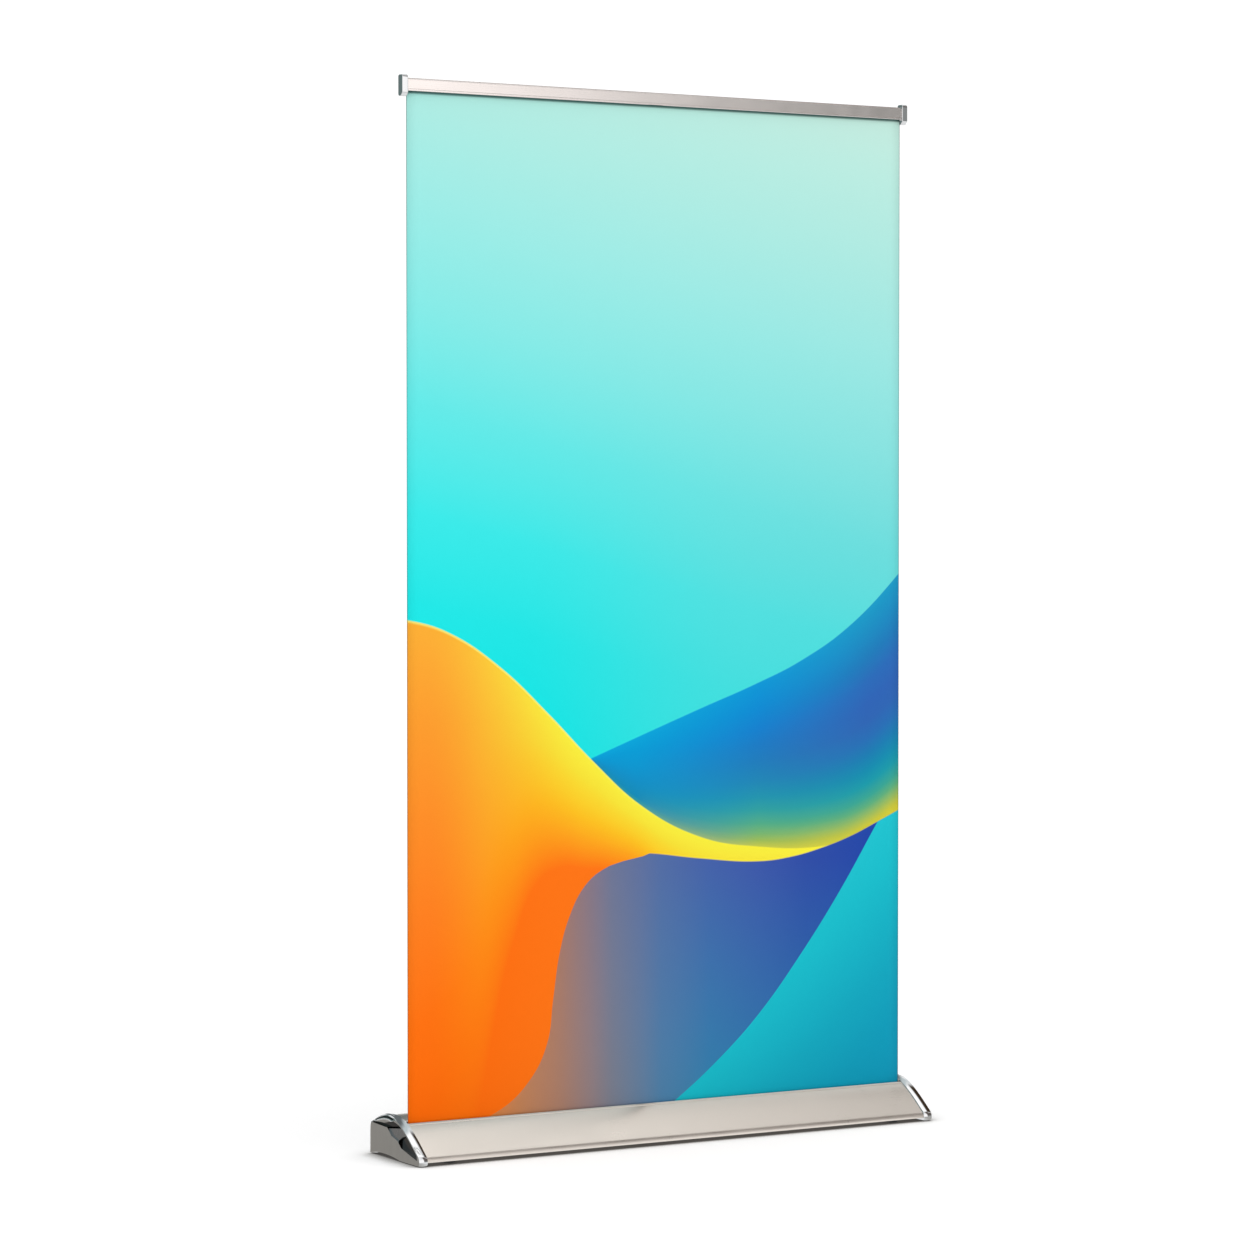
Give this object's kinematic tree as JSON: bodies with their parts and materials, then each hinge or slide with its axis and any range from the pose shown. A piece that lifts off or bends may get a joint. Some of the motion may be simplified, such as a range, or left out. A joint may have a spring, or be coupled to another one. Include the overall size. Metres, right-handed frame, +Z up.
{
  "type": "roll-up banner stand",
  "caption": "Free-standing roll-up banner: printed film drawn from a sprung roller in a low hooded base up to a clamped top rail, with a telescopic pole behind.",
  "frame": {"origin": "on the floor under the middle of the base", "axes": "+Z up along the graphic's height, +X to the viewer's right along the rail, -Y towards the viewer, so +Y is through the base's depth"},
  "size_m": [1.2474, 0.2228, 2.2025],
  "materials": {
    "satin_aluminium": "anodised warm silver, fine lengthwise grain",
    "chrome": "polished chrome plate",
    "zinc_steel": "zinc plated",
    "spring_steel": "dark oiled wire",
    "black_plastic": "fine moulded texture",
    "black_rubber": "matte",
    "printed_film": "smooth satin print on film, grey back"
  },
  "bodies": {
    "base": {"base_housing": "satin_aluminium", "front_panel": "satin_aluminium", "end_cap_left": "chrome", "end_cap_right": "chrome", "end_plate_left": "zinc_steel", "end_plate_right": "zinc_steel", "end_screw_left_1": "zinc_steel", "end_screw_left_2": "zinc_steel", "end_screw_left_3": "zinc_steel", "end_screw_right_1": "zinc_steel", "end_screw_right_2": "zinc_steel", "end_screw_right_3": "zinc_steel", "pole_socket": "black_plastic", "foot_nut_1": "zinc_steel", "foot_nut_2": "zinc_steel", "foot_nut_3": "zinc_steel", "foot_nut_4": "zinc_steel", "idler_pin": "zinc_steel", "spring_shaft": "zinc_steel", "spring_collar": "black_plastic", "torsion_spring": "spring_steel"},
    "roller": {"roller_tube": "satin_aluminium", "wound_graphic": "printed_film", "roller_plug_left": "black_plastic", "roller_plug_right": "black_plastic"},
    "rail": {"rail_back": "satin_aluminium", "rail_cap_left": "chrome", "rail_cap_right": "chrome", "rail_bracket": "zinc_steel", "banner_sheet": "printed_film"},
    "rail_clamp": {"rail_front_clamp": "satin_aluminium", "rail_gasket": "black_rubber"},
    "pole_lower": {"pole_foot_plug": "black_plastic", "pole_lower_tube": "satin_aluminium", "lock_sleeve_lower": "black_plastic"},
    "lock_lower": {"lock_collar_lower": "black_plastic"},
    "pole_middle": {"pole_middle_tube": "satin_aluminium", "lock_sleeve_upper": "black_plastic"},
    "lock_upper": {"lock_collar_upper": "black_plastic"},
    "pole_upper": {"pole_upper_tube": "satin_aluminium", "pole_head": "black_plastic"},
    "foot_1": {"foot_pad_1": "black_rubber"},
    "stud_1": {"foot_stud_1": "zinc_steel"},
    "foot_2": {"foot_pad_2": "black_rubber"},
    "stud_2": {"foot_stud_2": "zinc_steel"},
    "foot_3": {"foot_pad_3": "black_rubber"},
    "stud_3": {"foot_stud_3": "zinc_steel"},
    "foot_4": {"foot_pad_4": "black_rubber"},
    "stud_4": {"foot_stud_4": "zinc_steel"}
  },
  "joints": [
    {"name": "rail_travel", "type": "slide", "parent": "base", "child": "rail", "axis": [0, 0, 1], "range_m": [-2.074, 0.012], "deforming": ["banner_sheet"]},
    {"name": "roller_spin", "type": "hinge", "parent": "base", "child": "roller", "pos_m": [0, -0.03074, 0.036], "axis": [1, 0, 0], "range_deg": [-6920, 45]},
    {"name": "rail_clamp_open", "type": "hinge", "parent": "rail", "child": "rail_clamp", "pos_m": [0, -0.01854, 2.1918], "axis": [-1, 0, 0], "range_deg": [0, 35]},
    {"name": "pole_lift", "type": "slide", "parent": "base", "child": "pole_lower", "axis": [0, 0, 1], "range_m": [0, 0.055]},
    {"name": "pole_middle_slide", "type": "slide", "parent": "pole_lower", "child": "pole_middle", "axis": [0, 0, 1], "range_m": [-0.6, 0]},
    {"name": "pole_upper_slide", "type": "slide", "parent": "pole_middle", "child": "pole_upper", "axis": [0, 0, 1], "range_m": [-0.6, 0]},
    {"name": "lock_lower_turn", "type": "hinge", "parent": "pole_lower", "child": "lock_lower", "pos_m": [0, 0.01676, 0.78], "axis": [0, 0, 1], "range_deg": [0, 120]},
    {"name": "lock_upper_turn", "type": "hinge", "parent": "pole_middle", "child": "lock_upper", "pos_m": [0, 0.01676, 1.45], "axis": [0, 0, 1], "range_deg": [0, 120]},
    {"name": "foot_1_travel", "type": "slide", "parent": "base", "child": "foot_1", "axis": [0, 0, -1], "range_m": [0, 0.01]},
    {"name": "stud_1_turn", "type": "hinge", "parent": "foot_1", "child": "stud_1", "pos_m": [-0.54, -0.07924, 0.012], "axis": [0, 0, 1], "range_deg": [-2885, 0]},
    {"name": "foot_2_travel", "type": "slide", "parent": "base", "child": "foot_2", "axis": [0, 0, -1], "range_m": [0, 0.01]},
    {"name": "stud_2_turn", "type": "hinge", "parent": "foot_2", "child": "stud_2", "pos_m": [0.54, -0.07924, 0.012], "axis": [0, 0, 1], "range_deg": [-2885, 0]},
    {"name": "foot_3_travel", "type": "slide", "parent": "base", "child": "foot_3", "axis": [0, 0, -1], "range_m": [0, 0.01]},
    {"name": "stud_3_turn", "type": "hinge", "parent": "foot_3", "child": "stud_3", "pos_m": [-0.54, 0.08676, 0.012], "axis": [0, 0, 1], "range_deg": [-2885, 0]},
    {"name": "foot_4_travel", "type": "slide", "parent": "base", "child": "foot_4", "axis": [0, 0, -1], "range_m": [0, 0.01]},
    {"name": "stud_4_turn", "type": "hinge", "parent": "foot_4", "child": "stud_4", "pos_m": [0.54, 0.08676, 0.012], "axis": [0, 0, 1], "range_deg": [-2885, 0]}
  ],
  "couplings": [
    {"joint": "roller_spin", "follows": "rail_travel", "rad_per_m": 58.139},
    {"joint": "stud_1_turn", "follows": "foot_1_travel", "rad_per_m": -5026.5},
    {"joint": "stud_2_turn", "follows": "foot_2_travel", "rad_per_m": -5026.5},
    {"joint": "stud_3_turn", "follows": "foot_3_travel", "rad_per_m": -5026.5},
    {"joint": "stud_4_turn", "follows": "foot_4_travel", "rad_per_m": -5026.5}
  ]
}
